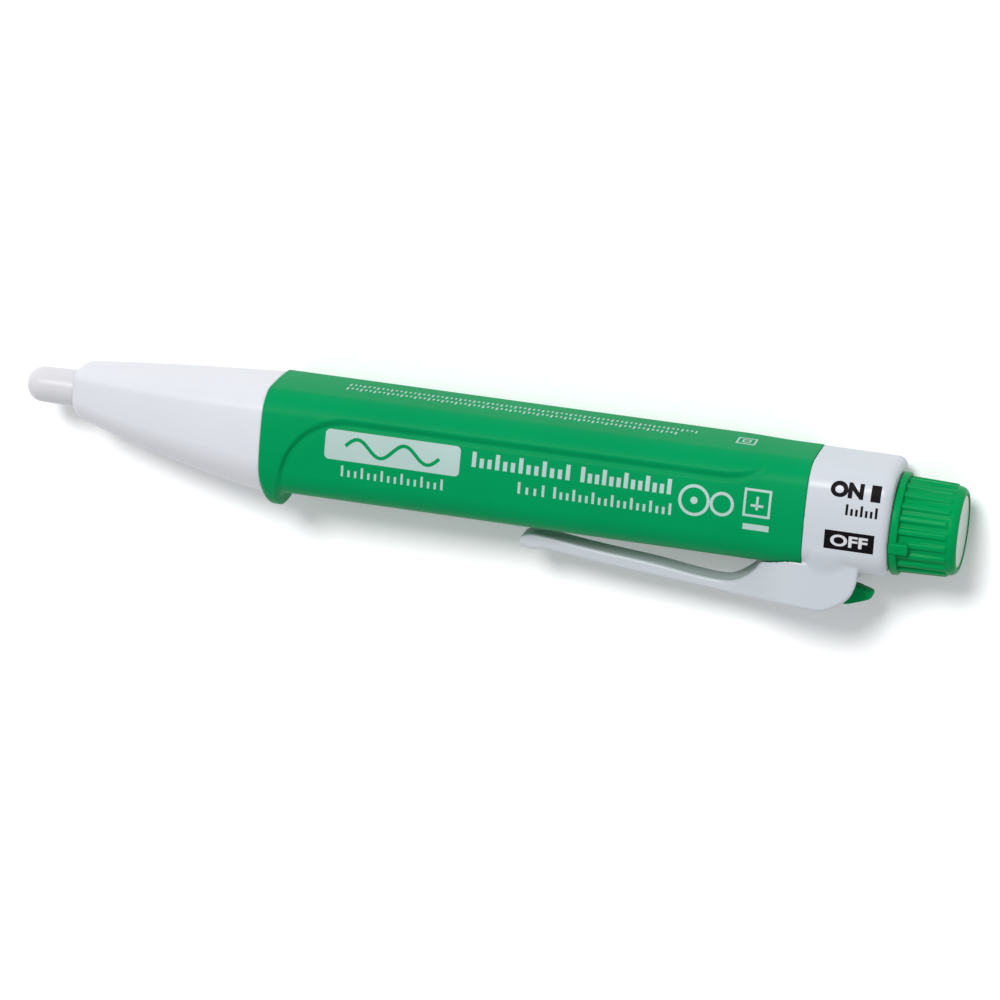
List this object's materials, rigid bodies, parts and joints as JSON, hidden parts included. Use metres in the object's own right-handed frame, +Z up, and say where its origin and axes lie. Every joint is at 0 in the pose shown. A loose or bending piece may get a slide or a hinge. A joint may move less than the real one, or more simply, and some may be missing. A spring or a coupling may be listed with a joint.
{
  "type": "non contact voltage tester",
  "caption": "Pen type non contact voltage tester with a translucent probe tip, tapered nose, finger guard, pocket clip with release latch and a ribbed rotary selector knob.",
  "frame": {"origin": "under the middle of the tester as it lies on its flank, on the surface it lies on", "axes": "+X from the probe tip to the selector knob, -Y towards the pocket clip, +Z up out of the upper flank"},
  "size_m": [0.16, 0.0266, 0.0198],
  "materials": {
    "tip_plastic": "satin translucent moulded plastic",
    "white_plastic": "satin moulded plastic",
    "green_plastic": "fine satin grain",
    "green_gloss": "smooth moulded plastic",
    "pale_plastic": "smooth moulded plastic",
    "black_plastic": "moulded black plastic",
    "carrier_plastic": "moulded black plastic",
    "board": "solder mask over glass fibre",
    "red_lens": "clear coloured lens",
    "green_lens": "clear coloured lens",
    "cell_can": "printed steel can",
    "brass": "plated brass",
    "spring_steel": "nickel plated",
    "seal_rubber": "soft rubber"
  },
  "bodies": {
    "housing": {"sensor_tip": "tip_plastic", "nose_cone": "white_plastic", "barrel": "green_plastic", "battery_carrier": "carrier_plastic", "circuit_board": "board", "controller_chip": "black_plastic", "board_components": "black_plastic", "buzzer": "black_plastic", "alarm_led": "red_lens", "power_led": "green_lens", "sensor_plate": "brass", "sensor_spring": "spring_steel", "front_contact": "spring_steel", "battery_front": "cell_can", "battery_rear": "cell_can", "contact_strip": "brass"},
    "cap": {"rear_cap": "white_plastic", "cap_seal": "seal_rubber", "latch_pin": "spring_steel", "latch_spring": "spring_steel", "switch_base": "carrier_plastic", "tail_spring": "spring_steel", "detent_ball": "spring_steel", "detent_spring": "spring_steel"},
    "clip": {"clip_arm": "white_plastic"},
    "latch": {"release_latch": "green_gloss"},
    "knob": {"selector_knob": "green_gloss", "knob_end_disc": "pale_plastic", "retaining_ring": "spring_steel", "switch_wiper": "brass"}
  },
  "joints": [
    {"name": "cap_pull", "type": "slide", "parent": "housing", "child": "cap", "axis": [1, 0, 0], "range_m": [0, 0.03]},
    {"name": "knob_turn", "type": "hinge", "parent": "cap", "child": "knob", "pos_m": [0.075, 0.00298, 0.0099], "axis": [-1, 0, 0], "range_deg": [0, 50]},
    {"name": "latch_press", "type": "hinge", "parent": "cap", "child": "latch", "pos_m": [0.0565, -0.00962, 0.0099], "axis": [0, 0, 1], "range_deg": [0, 5], "stiffness_Nm_per_rad": 0.05, "deforming": ["latch_spring"]},
    {"name": "clip_flex", "type": "hinge", "parent": "cap", "child": "clip", "pos_m": [0.0425, -0.01103, 0.0099], "axis": [0, 0, 1], "range_deg": [0, 3], "stiffness_Nm_per_rad": 0.3}
  ]
}
